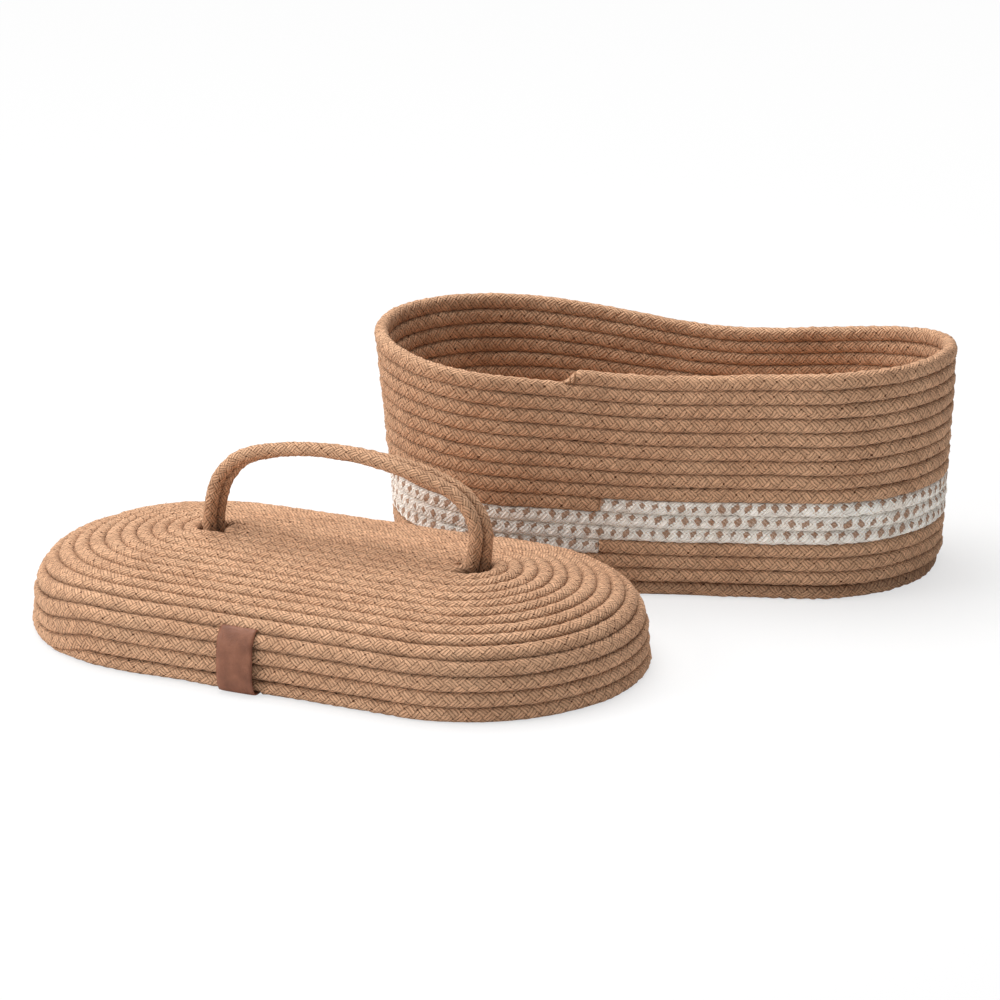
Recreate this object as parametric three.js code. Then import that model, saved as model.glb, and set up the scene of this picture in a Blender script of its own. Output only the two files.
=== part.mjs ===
import * as THREE from "three";

// Sizes in millimetres. The basket's middle stands on the origin, its long axis along X, its front at -Y

// Cord
const cord_pitch = 9;
const cord_half_height = 4.2;
const cord_half_width = 3.7;
const row_clearance = 0.6;
const butt_gap = 0.5;
const tight_relief = 0.4;

// Oval shared by the basket and its lid
const straight_length = 176;
const arc_steps = 7;

// Basket
const foot_radius = 82;
const rim_radius = 90.2;
const wall_rows = 16;
const base_turns = 9;
const seam_x = -38;
const rim_end_x = -53;
const band_first_turn = 3;
const band_turns = 3;
const settle_turns = 6;
const front_stop_x = 25;
const back_stops_x = [0, 45];

// Lean and sag of the soft wall, growing from the foot to the rim
const front_bow = 15.4;
const front_bow_x = -25.6;
const back_bow = 17.7;
const back_bow_x = 96.8;
const bow_reach = 128;
const bow_edge = 60;
const left_end_out = 5.7;
const right_end_in = 2.6;
const rim_tilt_x = -4.5;
const rim_tilt_y = -2.3;
const rim_saddle = 7.1;
const rim_twist = -3.7;

// Lid, and where it lies beside the basket
const lid_ridge = 54.9;
const lid_shoulder = [86, 41.2];
const lid_corner = [100, 22.5];
const lid_foot_radius = 101.5;
const lid_rest = 3.9;
const lid_turns = 14;
const lid_short_left = 66.5;
const lid_short_right = 75;
const lid_seam_step = 1.5;
const lid_level_from = 5;
const lid_level_over = 8;
const lid_place = [-188.6, -174.6];
const lid_yaw = -19;

// Handle
const handle_half_size = 4;
const handle_gap = 0.5;
const handle_steps = 20;
const handle_line = [
  [-84, 49], [-84.5, 62], [-81.5, 78], [-76, 91], [-63, 103.5], [-42, 110.5], [-15, 114.6],
  [10, 114.6], [38, 112], [63, 106.5], [80, 99.5], [90.5, 89], [95, 77], [94.5, 64], [93, 49],
];

// Leather tag
const tag_width = 26;
const tag_x = -11;
const tag_thickness = 1.2;
const tag_stand_off = 4.75;
const tag_gap = 0.45;
const tag_reach = 30.4;
const tag_tuck = 1.6;
const tag_inner_top = 21;

const half = straight_length / 2;
const arc_swell = Math.sqrt((Math.PI / arc_steps) / Math.sin(Math.PI / arc_steps));
const arc_length = Math.PI * (foot_radius + rim_radius) / 2;
const loop_length = 2 * straight_length + 2 * arc_length;
const wall_height = wall_rows * cord_pitch;
const base_pitch = foot_radius / (base_turns + 0.25);

// Stops of one loop, walked clockwise from the seam at the front.
// "along" is the share of the loop's length, "grown" the share of its two arcs.
function frontStop(x) {
  const before = x > seam_x;
  const run = before ? loop_length - (x - seam_x) : seam_x - x;
  return { cx: x, angle: -Math.PI / 2, swell: 1, along: run / loop_length, grown: before ? 1 : 0, side: 0 };
}

function backStop(x) {
  const run = seam_x + half + arc_length + x + half;
  return { cx: x, angle: Math.PI / 2, swell: 1, along: run / loop_length, grown: 0.5, side: 0 };
}

function arcStop(side, step) {
  const part = step / arc_steps;
  const inside = step > 0 && step < arc_steps;
  const start = side < 0 ? seam_x + half : seam_x + half + arc_length + straight_length;
  return {
    cx: side * half,
    angle: side * Math.PI / 2 - Math.PI * part,
    swell: inside ? arc_swell : 1,
    along: (start + arc_length * part) / loop_length,
    grown: (side < 0 ? 0 : 0.5) + part / 2,
    side,
  };
}

function loopStops(turn, front, back) {
  const list = [];
  for (let i = 0; i <= arc_steps; i += 1) list.push({ stop: arcStop(-1, i), turn });
  for (const x of back) list.push({ stop: backStop(x), turn });
  for (let i = 0; i <= arc_steps; i += 1) list.push({ stop: arcStop(1, i), turn });
  for (const x of front) list.push({ stop: frontStop(x), turn });
  return list;
}

function onOval(stop, radius, z, cx = stop.cx, cy = 0) {
  const r = radius * stop.swell;
  return new THREE.Vector3(cx + r * Math.cos(stop.angle), cy + r * Math.sin(stop.angle), z);
}

// Lean of the wall: its front and back bow inward and its rim rises and falls
function lean(point) {
  const share = Math.min(Math.max(point.z / wall_height, 0), 1);
  const grow = share ** 1.6;
  const around = Math.atan2(point.y, point.x);
  const front = point.y < 0;
  const from = point.x - (front ? front_bow_x : back_bow_x);
  const near = Math.abs(from) < bow_reach ? Math.cos(Math.PI * from / (2 * bow_reach)) ** 2 : 0;
  const bow = (front ? front_bow : -back_bow) * near * Math.min(Math.abs(point.y) / bow_edge, 1);
  const out_left = Math.min(Math.max(-point.x / straight_length, 0), 1) ** 3;
  const out_right = Math.min(Math.max(point.x / straight_length, 0), 1) ** 3;
  const dy = bow * grow;
  const dx = (-left_end_out * out_left - right_end_in * out_right) * grow;
  const wave = rim_tilt_x * Math.cos(around) + rim_tilt_y * Math.sin(around)
    + rim_saddle * Math.cos(2 * around) + rim_twist * Math.sin(2 * around);
  const dz = wave * share - 1.3 * (dx * dx + dy * dy) / (2 * wall_height);
  return new THREE.Vector3(point.x + dx, point.y + dy, point.z + dz);
}

// Middle of the cord in the basket: a flat oval spiral, then a climbing one
function basketPoint({ stop, turn }) {
  const lift = base_pitch / 4;
  if (turn + stop.along < 0) {
    const even = turn + stop.grown;
    const roll = 1 - Math.cos(Math.PI * stop.grown / 2) - stop.grown;
    const fade = Math.max(0, 1 + (turn + 1) / settle_turns);
    const radius = base_pitch * (base_turns + 0.25 + even + roll * fade);
    if (turn === -base_turns && stop.side < 0) return onOval(stop, base_pitch / 2, cord_half_width, stop.cx, 2 * lift);
    if (radius < 0) return null;
    const point = onOval(stop, radius, cord_half_width);
    point.y += lift;
    return point;
  }
  const roll = Math.sin(Math.PI * stop.grown / 2) - stop.along;
  const fade = Math.max(0, 1 - turn / settle_turns);
  const rise = turn + stop.along + roll * fade;
  const z = cord_pitch * (rise + 0.5) - (cord_pitch / 2 - cord_half_width) * Math.max(0, 1 - rise);
  const radius = foot_radius + (rim_radius - foot_radius) * (z - cord_half_width) / wall_height;
  const point = lean(onOval(stop, radius, z));
  point.y += lift;
  return point;
}

function basketAcross(at) {
  if (at.turn + at.stop.along < 0) return new THREE.Vector3(Math.cos(at.stop.angle), Math.sin(at.stop.angle), 0);
  const outer = basketPoint({ stop: at.stop, turn: at.turn + 1 });
  const inner = basketPoint({ stop: at.stop, turn: at.turn - 1 });
  return outer.sub(inner).normalize();
}

// Outline of the lid from its ridge over the shoulder to the foot of its skirt
const lid_outline = new THREE.CurvePath();
const dome_end = new THREE.Vector2(...lid_shoulder);
const skirt_top = new THREE.Vector2(...lid_corner);
lid_outline.add(new THREE.CubicBezierCurve(
  new THREE.Vector2(0, lid_ridge), new THREE.Vector2(30, lid_ridge), new THREE.Vector2(62, 50.5), dome_end,
));
lid_outline.add(new THREE.CubicBezierCurve(
  dome_end, new THREE.Vector2(93, 38.5), new THREE.Vector2(99.25, 31.5), skirt_top,
));
lid_outline.add(new THREE.LineCurve(skirt_top, new THREE.Vector2(lid_foot_radius, lid_rest)));
const lid_reach = lid_outline.getLength();
const seam_grown = lid_seam_step / arc_steps / 2;
const lid_pitch = lid_reach / (lid_turns + seam_grown + 0.75);

function lidGrowth({ stop, turn }) {
  const even = turn + stop.grown;
  const level = turn + (stop.grown < seam_grown ? -1 : 0) + seam_grown + 0.5;
  const fade = Math.min(Math.max((even - lid_level_from) / lid_level_over, 0), 1);
  return lid_pitch * (0.25 + even + (level - even) * fade);
}

// Middle of the cord in the lid: its first turn is short and leaves an eye at each end for the handle
function lidPoint(at) {
  const { stop, turn } = at;
  const reach = lidGrowth(at);
  if (turn < 0 || reach > lid_reach + 0.01) return null;
  const short = stop.side < 0 ? -lid_short_left : lid_short_right;
  const cx = turn === 0 && stop.side !== 0 ? short : stop.cx;
  if (turn === 0 && stop.side < 0) return onOval(stop, lid_pitch / 2, lid_ridge, cx, lid_pitch / 4);
  const spot = lid_outline.getPoint(Math.min(reach / lid_reach, 1));
  return onOval(stop, spot.x, spot.y, cx);
}

function lidAcross(at) {
  if (isFoot(at)) return new THREE.Vector3(0, 0, -1);
  const share = Math.min(lidGrowth(at) / lid_reach, 0.995);
  const here = lid_outline.getPoint(share);
  const next = lid_outline.getPoint(share + 0.005);
  const slope = next.sub(here).normalize();
  return new THREE.Vector3(slope.x * Math.cos(at.stop.angle), slope.x * Math.sin(at.stop.angle), slope.y);
}

function isFoot(at) {
  return lidGrowth(at) > lid_reach - 0.01;
}

// Half size of the cord across its rows: the room between its neighbours less the clearance
function halfHeight(at, pointAt) {
  const here = pointAt(at);
  let room = 2 * cord_half_height + row_clearance;
  for (const other of [at.turn - 1, at.turn + 1]) {
    const there = pointAt({ stop: at.stop, turn: other });
    const inner_end = at.turn < 1 && pointAt === lidPoint;
    if (there && !inner_end) room = Math.min(room, there.distanceTo(here));
  }
  const first_turn = pointAt === lidPoint ? 0 : -base_turns;
  if (at.turn < first_turn + 2) room -= tight_relief;
  return (room - row_clearance) / 2;
}

// Six corner points round the cord at each stop, square to its run
function cordRings(path, pointAt, acrossAt, floorAt) {
  const middles = path.map(pointAt);
  return path.map((at, i) => {
    const here = middles[i];
    const before = middles[Math.max(i - 1, 0)];
    const after = middles[Math.min(i + 1, path.length - 1)];
    const into = here.clone().sub(before).normalize();
    const out = after.clone().sub(here).normalize();
    const run = into.add(out).normalize();
    const across = acrossAt(at).clone();
    across.addScaledVector(run, -across.dot(run)).normalize();
    const beside = new THREE.Vector3().crossVectors(run, across);
    const foot = pointAt === lidPoint && isFoot(at);
    const turned = foot ? Math.PI / 6 : 0;
    const tall = foot ? lid_rest / Math.cos(Math.PI / 6) : halfHeight(at, pointAt);
    const wide = cord_half_width / Math.cos(Math.PI / 6);
    const ring = [];
    for (let k = 0; k < 6; k += 1) {
      const a = k * Math.PI / 3 + turned;
      const spot = here.clone();
      spot.addScaledVector(across, tall * Math.cos(a));
      spot.addScaledVector(beside, -wide * Math.sin(a));
      spot.z = Math.max(spot.z, floorAt(at));
      ring.push(spot);
    }
    return ring;
  });
}

// One closed body from a run of rings
function tubeGeometry(rings) {
  const sides = rings[0].length;
  const positions = rings.flat().flatMap((p) => [p.x, p.y, p.z]);
  const faces = [];
  for (let i = 0; i < rings.length - 1; i += 1) {
    for (let k = 0; k < sides; k += 1) {
      const a = i * sides + k;
      const b = i * sides + (k + 1) % sides;
      faces.push(a, a + sides, b, b, a + sides, b + sides);
    }
  }
  const last = (rings.length - 1) * sides;
  for (let k = 1; k < sides - 1; k += 1) {
    faces.push(0, k, k + 1);
    faces.push(last, last + k + 1, last + k);
  }
  const geometry = new THREE.BufferGeometry();
  geometry.setAttribute("position", new THREE.Float32BufferAttribute(positions, 3));
  geometry.setIndex(faces);
  geometry.computeVertexNormals();
  return geometry;
}

// Least gap between neighbouring rows of one cord, measured on points along its edges
function leastGap(rings) {
  const points = [];
  let walked = 0;
  for (let i = 0; i < rings.length - 1; i += 1) {
    const length = rings[i][0].distanceTo(rings[i + 1][0]);
    for (let part = 0; part < 1; part += 0.25) {
      rings[i].forEach((p, k) => points.push([p.clone().lerp(rings[i + 1][k], part), walked + part * length]));
    }
    walked += length;
  }
  let least = Infinity;
  for (let i = 0; i < points.length; i += 1) {
    for (let j = i + 1; j < points.length; j += 1) {
      const apart = points[j][1] - points[i][1];
      if (apart > 30 && Math.abs(points[i][0].z - points[j][0].z) < least) {
        least = Math.min(least, points[i][0].distanceTo(points[j][0]));
      }
    }
  }
  return least;
}

const part = new THREE.Group();
part.name = "oval_rope_basket";

const tan_cord = { color: "#c29a7c", roughness: 0.92, metalness: 0 };
const white_cord = { color: "#d8cabc", roughness: 0.92, metalness: 0 };
const tag_leather = { color: "#8a5240", roughness: 0.6, metalness: 0 };

function addCord(name, look, rings) {
  const mesh = new THREE.Mesh(tubeGeometry(rings), new THREE.MeshStandardMaterial(look));
  mesh.name = name;
  part.add(mesh);
  console.log(name, "least gap between its rows, mm:", leastGap(rings).toFixed(2));
  return mesh;
}

const flat_floor = () => 0;

// Whole run of the basket's cord, later cut where its colour changes
const basket_path = [];
basket_path.push({ stop: { ...arcStop(1, arc_steps), grown: 1 }, turn: -base_turns - 1 });
for (let turn = -base_turns; turn < wall_rows - 1; turn += 1) {
  const on_wall = turn >= 0;
  basket_path.push(...loopStops(turn, on_wall ? [front_stop_x] : [], on_wall ? back_stops_x : []));
  if (turn === -1) basket_path.push({ stop: { ...frontStop(seam_x), along: 0 }, turn: 0 });
}

function order(at) {
  return at.turn + at.stop.along;
}

function stretch(from, to) {
  const inner = basket_path.filter((at) => order(at) > order(from) && order(at) < order(to));
  return [from, ...inner, to];
}

function seamStop(turn, offset) {
  const before = offset > 0;
  return { stop: frontStop(seam_x + offset), turn: before ? turn - 1 : turn };
}

const band_last_turn = band_first_turn + band_turns;
const base_path = stretch(basket_path[0], seamStop(band_first_turn, butt_gap / 2));
const band_path = stretch(seamStop(band_first_turn, -butt_gap / 2), seamStop(band_last_turn, butt_gap / 2));
const rim_stop = { stop: frontStop(rim_end_x), turn: wall_rows - 1 };
const wall_path = stretch(seamStop(band_last_turn, -butt_gap / 2), rim_stop);

// Base rope: the oval spiral of the floor and the three lowest rows of the wall
addCord("base_rope", tan_cord, cordRings(base_path, basketPoint, basketAcross, flat_floor));

// Band rope: the white rows
addCord("band_rope", white_cord, cordRings(band_path, basketPoint, basketAcross, flat_floor));

// Wall rope: the upper rows, ending on the rim
addCord("wall_rope", tan_cord, cordRings(wall_path, basketPoint, basketAcross, flat_floor));

// Lid rope: a shallow dome with an upright skirt, its lowest row level on the floor
const tag_right = tag_x + tag_width / 2 + 0.6;
const tag_left = tag_x - tag_width / 2 - 0.6;
const tag_floor = tag_thickness + tag_gap;
const lid_path = [{ stop: { ...frontStop(lid_short_right), grown: 0 }, turn: 0 }];
for (let turn = 0; turn <= lid_turns; turn += 1) {
  const stops = loopStops(turn, [], []);
  if (turn === 0) stops[stops.length - 1].stop.cx = half;
  lid_path.push(...stops);
}
for (const x of [tag_right + 1.2, tag_right, tag_left, tag_left - 1.2]) {
  lid_path.push({ stop: { ...frontStop(x), grown: 0, tagged: x === tag_right || x === tag_left }, turn: lid_turns + 1 });
}
for (let step = 0; step < lid_seam_step; step += 1) {
  lid_path.push({ stop: arcStop(-1, step), turn: lid_turns + 1 });
}
const lid_floor = (at) => (at.stop.tagged ? tag_floor : 0);
const lid_rope = addCord("lid_rope", tan_cord, cordRings(lid_path, lidPoint, lidAcross, lid_floor));

// Handle: two cords side by side, arching from one eye of the lid to the other
const handle_curve = new THREE.CatmullRomCurve3(handle_line.map(([x, z]) => new THREE.Vector3(x, 0, z)));
const handle_middle = lid_pitch / 4;

function handleRings(offset) {
  const rings = [];
  for (let i = 0; i <= handle_steps; i += 1) {
    const here = handle_curve.getPointAt(i / handle_steps);
    const run = handle_curve.getTangentAt(i / handle_steps);
    const beside = new THREE.Vector3(0, 1, 0);
    const up = new THREE.Vector3().crossVectors(beside, run);
    const ring = [];
    for (let k = 0; k < 6; k += 1) {
      const a = k * Math.PI / 3;
      const spot = here.clone().addScaledVector(beside, handle_middle + offset);
      spot.addScaledVector(up, handle_half_size * Math.cos(a));
      spot.addScaledVector(beside, -handle_half_size * Math.sin(a));
      ring.push(spot);
    }
    rings.push(ring);
  }
  return rings;
}

const handle_offset = handle_half_size * Math.cos(Math.PI / 6) + handle_gap / 2;
const handle_front = addCord("handle_rope_front", tan_cord, handleRings(-handle_offset));
const handle_rear = addCord("handle_rope_rear", tan_cord, handleRings(handle_offset));

// Leather tag: a strip tucked in above the lid's fourth row, folded round the lowest row and up inside
const skirt_lean = (lid_foot_radius - lid_corner[0]) / (lid_corner[1] - lid_rest);
const skirtAt = (z) => lid_foot_radius - skirt_lean * (z - lid_rest);
const outer_face = (z) => -(skirtAt(z) + tag_stand_off);
const inner_face = (z) => -(skirtAt(z) - tag_stand_off);

// A place beside the skirt's cord, "up" mm along the skirt from its lowest row
function besideSkirt(up, off) {
  const share = Math.min(1 - up / lid_reach, 0.995);
  const here = lid_outline.getPoint(share);
  const slope = lid_outline.getPoint(share + 0.005).sub(here).normalize();
  return [-(here.x - slope.y * off), here.y + slope.x * off];
}

const tag_outline = new THREE.Shape();
tag_outline.moveTo(outer_face(2) - tag_thickness, 2.2);
tag_outline.quadraticCurveTo(outer_face(0) - tag_thickness, 0, outer_face(0) + 1.6, 0);
tag_outline.lineTo(inner_face(0) - 1.6, 0);
tag_outline.quadraticCurveTo(inner_face(0) + tag_thickness, 0, inner_face(2) + tag_thickness, 2.6);
tag_outline.lineTo(inner_face(tag_inner_top) + tag_thickness, tag_inner_top);
tag_outline.lineTo(inner_face(tag_inner_top), tag_inner_top);
tag_outline.lineTo(inner_face(3), 3);
tag_outline.quadraticCurveTo(inner_face(0), tag_thickness, inner_face(0) - 2, tag_thickness);
tag_outline.lineTo(outer_face(0) + 2, tag_thickness);
tag_outline.quadraticCurveTo(outer_face(0), tag_thickness, outer_face(3), 3);
for (const up of [15, 20, 23, 26, tag_reach - 1.6]) {
  tag_outline.lineTo(...besideSkirt(up, tag_stand_off));
}
tag_outline.lineTo(...besideSkirt(tag_reach, tag_stand_off - tag_tuck));
tag_outline.lineTo(...besideSkirt(tag_reach + 0.7, tag_stand_off - tag_tuck));
for (const up of [tag_reach, 26, 23, 20, 15]) {
  tag_outline.lineTo(...besideSkirt(up, tag_stand_off + tag_thickness));
}
tag_outline.closePath();
const tag_geometry = new THREE.ExtrudeGeometry(tag_outline, {
  depth: tag_width, bevelEnabled: false, curveSegments: 5, steps: 1,
});
// Shape x becomes Y, shape y becomes Z and the depth runs along X
tag_geometry.applyMatrix4(new THREE.Matrix4().makeBasis(
  new THREE.Vector3(0, 1, 0), new THREE.Vector3(0, 0, 1), new THREE.Vector3(1, 0, 0),
));
tag_geometry.translate(tag_x - tag_width / 2, 0, 0);
const leather_tag = new THREE.Mesh(tag_geometry, new THREE.MeshStandardMaterial(tag_leather));
leather_tag.name = "leather_tag";
part.add(leather_tag);

// The lid lies off the basket, at its left front
const lid_seat = new THREE.Matrix4().makeTranslation(lid_place[0], lid_place[1], 0);
lid_seat.multiply(new THREE.Matrix4().makeRotationZ(lid_yaw * Math.PI / 180));
for (const piece of [lid_rope, handle_front, handle_rear, leather_tag]) {
  piece.geometry.applyMatrix4(lid_seat);
}

export default part;
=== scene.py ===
import math

import bpy
import numpy as np
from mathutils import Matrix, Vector


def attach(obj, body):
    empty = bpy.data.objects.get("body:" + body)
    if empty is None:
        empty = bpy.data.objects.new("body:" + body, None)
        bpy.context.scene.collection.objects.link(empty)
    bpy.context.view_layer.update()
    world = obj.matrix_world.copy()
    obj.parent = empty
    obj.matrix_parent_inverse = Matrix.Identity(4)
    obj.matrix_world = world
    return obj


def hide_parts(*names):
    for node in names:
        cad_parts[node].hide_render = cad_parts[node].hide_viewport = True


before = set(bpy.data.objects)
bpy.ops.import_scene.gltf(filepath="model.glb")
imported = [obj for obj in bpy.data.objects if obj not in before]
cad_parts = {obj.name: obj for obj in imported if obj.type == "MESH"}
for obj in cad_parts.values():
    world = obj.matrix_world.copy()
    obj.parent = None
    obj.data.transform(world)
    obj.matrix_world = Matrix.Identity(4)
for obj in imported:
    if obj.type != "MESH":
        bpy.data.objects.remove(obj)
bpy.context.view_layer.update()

# Base rope: one tan braided cotton cord, coiled flat into the oval floor and then turned up
# into the three lowest rows of the wall. Each row is sewn to the one before it.
# Sizes are in millimetres, with the basket's middle at the origin, until a mesh is made.
MM = 0.001
PITCH = 9.0
STRAIGHT = 176.0
HALF = STRAIGHT / 2
FOOT_RADIUS = 82.0
RIM_RADIUS = 90.2
FLOOR_TURNS = 9
FLOOR_PITCH = FOOT_RADIUS / (FLOOR_TURNS + 0.25)
REST_HEIGHT = 3.7
WALL_HEIGHT = 144.0
BASE_ROWS, BAND_ROWS, WALL_ROWS = 3, 3, 9
ARC = math.pi * (FOOT_RADIUS + RIM_RADIUS) / 2
LOOP = 2 * STRAIGHT + 2 * ARC
# where cords meet on the front, and the gap that each leaves there
SEAM_X = -38.0
BUTT = 0.25
# turns before and after the floor's edge in which the spiral eases from growing into climbing
SETTLE = 6


def part_of_loop(turn, kind, start, stop, radius, step):
    """Sample points on one straight or one round end of a loop, walked clockwise from the front."""
    length = abs(stop - start) * (math.pi * radius if kind in ("left", "right") else 1)
    n = max(int(math.ceil(length / step)), 3)
    f = np.linspace(start, stop, n, endpoint=False)
    one = np.ones(n)
    if kind == "front":
        right = f > SEAM_X
        cx, angle = f, -math.pi / 2 * one
        along = np.where(right, (LOOP - (f - SEAM_X)) / LOOP, (SEAM_X - f) / LOOP)
        grown = np.where(right, 1.0, 0.0)
    elif kind == "back":
        cx, angle = f, math.pi / 2 * one
        along, grown = (SEAM_X + HALF + ARC + f + HALF) / LOOP, 0.5 * one
    elif kind == "left":
        cx, angle = -HALF * one, -math.pi / 2 - math.pi * f
        along, grown = (SEAM_X + HALF + ARC * f) / LOOP, f / 2
    else:
        cx, angle = HALF * one, math.pi / 2 - math.pi * f
        along, grown = (SEAM_X + HALF + ARC + STRAIGHT + ARC * f) / LOOP, 0.5 + f / 2
    return dict(turn=turn * one, cx=cx, angle=angle, along=along, grown=grown,
                left=one * (kind == "left"), right=one * (kind == "right"))


def joined(parts):
    return {key: np.concatenate([p[key] for p in parts]) for key in parts[0]}


def at_seam(turn, past):
    """One sample point on the front straight, "past" mm beyond the seam (negative before it)."""
    one = np.ones(1)
    before = past < 0
    return dict(turn=one * (turn - before), cx=one * (SEAM_X - past), angle=-math.pi / 2 * one,
                along=one * (before + past / LOOP), grown=one * float(before), left=0 * one, right=0 * one)


def basket_walk(first, last, step):
    """All sample points of the basket's cord between two places, counted in turns from the seam."""
    parts = []
    for turn in range(math.floor(first), math.ceil(last) + 1):
        radius = max(FLOOR_PITCH * (FLOOR_TURNS + turn + 0.75), 5) if turn < 0 else FOOT_RADIUS
        parts.append(part_of_loop(turn, "front", SEAM_X, -HALF, radius, step))
        parts.append(part_of_loop(turn, "left", 0, 1, radius, step))
        parts.append(part_of_loop(turn, "back", -HALF, HALF, radius, step))
        parts.append(part_of_loop(turn, "right", 0, 1, radius, step))
        parts.append(part_of_loop(turn, "front", HALF, SEAM_X + 0.001, radius, step))
    walk = joined(parts)
    place = walk["turn"] + walk["along"]
    keep = (place > first + 0.0005) & (place < last - 0.0005)
    walk = {key: value[keep] for key, value in walk.items()}
    start = at_seam(round(first), (first - round(first)) * LOOP)
    stop = at_seam(round(last), (last - round(last)) * LOOP)
    if first < -FLOOR_TURNS:
        start = {key: value[:1] + (4 if key == "cx" else 0) for key, value in walk.items()}
    return joined([start, walk, stop])


def oval_point(cx, angle, radius, z, cy=0.0):
    return np.stack([cx + radius * np.cos(angle), cy + radius * np.sin(angle), z + 0 * cx], 1)


def leaned(p):
    """The soft wall bows inward at its front and back, and its rim rises and falls."""
    share = np.clip(p[:, 2] / WALL_HEIGHT, 0, 1)
    grow = share ** 1.6
    front = p[:, 1] < 0
    bow_middle = np.where(front, -25.6, 96.8)
    bow_depth = np.where(front, 15.4, -17.7)
    bow_reach = 128
    off = p[:, 0] - bow_middle
    near = np.where(np.abs(off) < bow_reach, np.cos(math.pi * off / (2 * bow_reach)) ** 2, 0)
    dy = bow_depth * near * np.minimum(np.abs(p[:, 1]) / 60, 1) * grow
    left_lean = 5.7 * np.clip(-p[:, 0] / STRAIGHT, 0, 1) ** 3
    right_lean = 2.6 * np.clip(p[:, 0] / STRAIGHT, 0, 1) ** 3
    dx = -(left_lean + right_lean) * grow
    around = np.arctan2(p[:, 1], p[:, 0])
    wave = (-4.5 * np.cos(around) - 2.3 * np.sin(around)
            + 7.1 * np.cos(2 * around) - 3.7 * np.sin(2 * around))
    dz = wave * share - 1.3 * (dx * dx + dy * dy) / (2 * WALL_HEIGHT)
    return p + np.stack([dx, dy, dz], 1)


def basket_middle(walk, ahead=0):
    """Middle of the cord: a flat oval spiral up to the seam of the last floor row, then a climbing one."""
    turn = walk["turn"] + ahead
    grown, along = walk["grown"], walk["along"]
    fade = np.clip(1 + (turn + 1) / SETTLE, 0, 1)
    roll = 1 - np.cos(math.pi * grown / 2) - grown
    flat = np.maximum(FLOOR_PITCH * (FLOOR_TURNS + 0.25 + turn + grown + roll * fade), 0)
    hairpin = (turn == -FLOOR_TURNS) & (walk["left"] > 0)
    flat = np.where(hairpin, FLOOR_PITCH / 2, flat)
    floor = oval_point(walk["cx"], walk["angle"], flat, REST_HEIGHT, np.where(hairpin, FLOOR_PITCH / 4, 0))
    lift = (np.sin(math.pi * grown / 2) - along) * np.clip(1 - turn / SETTLE, 0, 1)
    rise = turn + along + lift
    z = PITCH * (rise + 0.5) - (PITCH / 2 - REST_HEIGHT) * np.clip(1 - rise, 0, 1)
    radius = FOOT_RADIUS + (RIM_RADIUS - FOOT_RADIUS) * (z - REST_HEIGHT) / WALL_HEIGHT
    wall = leaned(oval_point(walk["cx"], walk["angle"], radius, z))
    point = np.where((turn + along < 0)[:, None], floor, wall)
    point[:, 1] += FLOOR_PITCH / 4
    return point


def unit(v):
    return v / np.maximum(np.linalg.norm(v, axis=1), 1e-9)[:, None]


def basket_rows(walk):
    """Middle, direction across the rows and half the room between the rows, along the cord."""
    middle = basket_middle(walk)
    outer, inner = basket_middle(walk, 1), basket_middle(walk, -1)
    radial = np.stack([np.cos(walk["angle"]), np.sin(walk["angle"]), 0 * walk["angle"]], 1)
    place = walk["turn"] + walk["along"]
    turned_up = np.clip(place + 1, 0, 1)[:, None]
    outward = unit(outer - inner) * turned_up + radial * (1 - turned_up)
    across = unit(np.where(place[:, None] < -1, radial, outward))
    room = np.linalg.norm(outer - middle, axis=1)
    below = np.linalg.norm(inner - middle, axis=1)
    room = np.where(walk["turn"] > -FLOOR_TURNS, np.minimum(room, below), room)
    pressed = 0.42
    return middle, across, np.clip(room / 2, 3.9, 4.95) + pressed


def wobble(s, seed, size, wave):
    """A slow uneven drift along the cord, never more than "size" either way."""
    rng = np.random.default_rng(seed)
    out = np.zeros_like(s)
    for k in range(6):
        out += np.sin(2 * math.pi * s / (wave * (0.6 + 0.35 * k)) + rng.uniform(0, 6.28)) / 6
    return out * size


def add_object(name, data):
    obj = bpy.data.objects.new(name, data)
    bpy.context.collection.objects.link(obj)
    return obj


# plaits round a cord, and the height that no point goes below
PLAITS_ROUND = 4
LOWEST = 0.02


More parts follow.
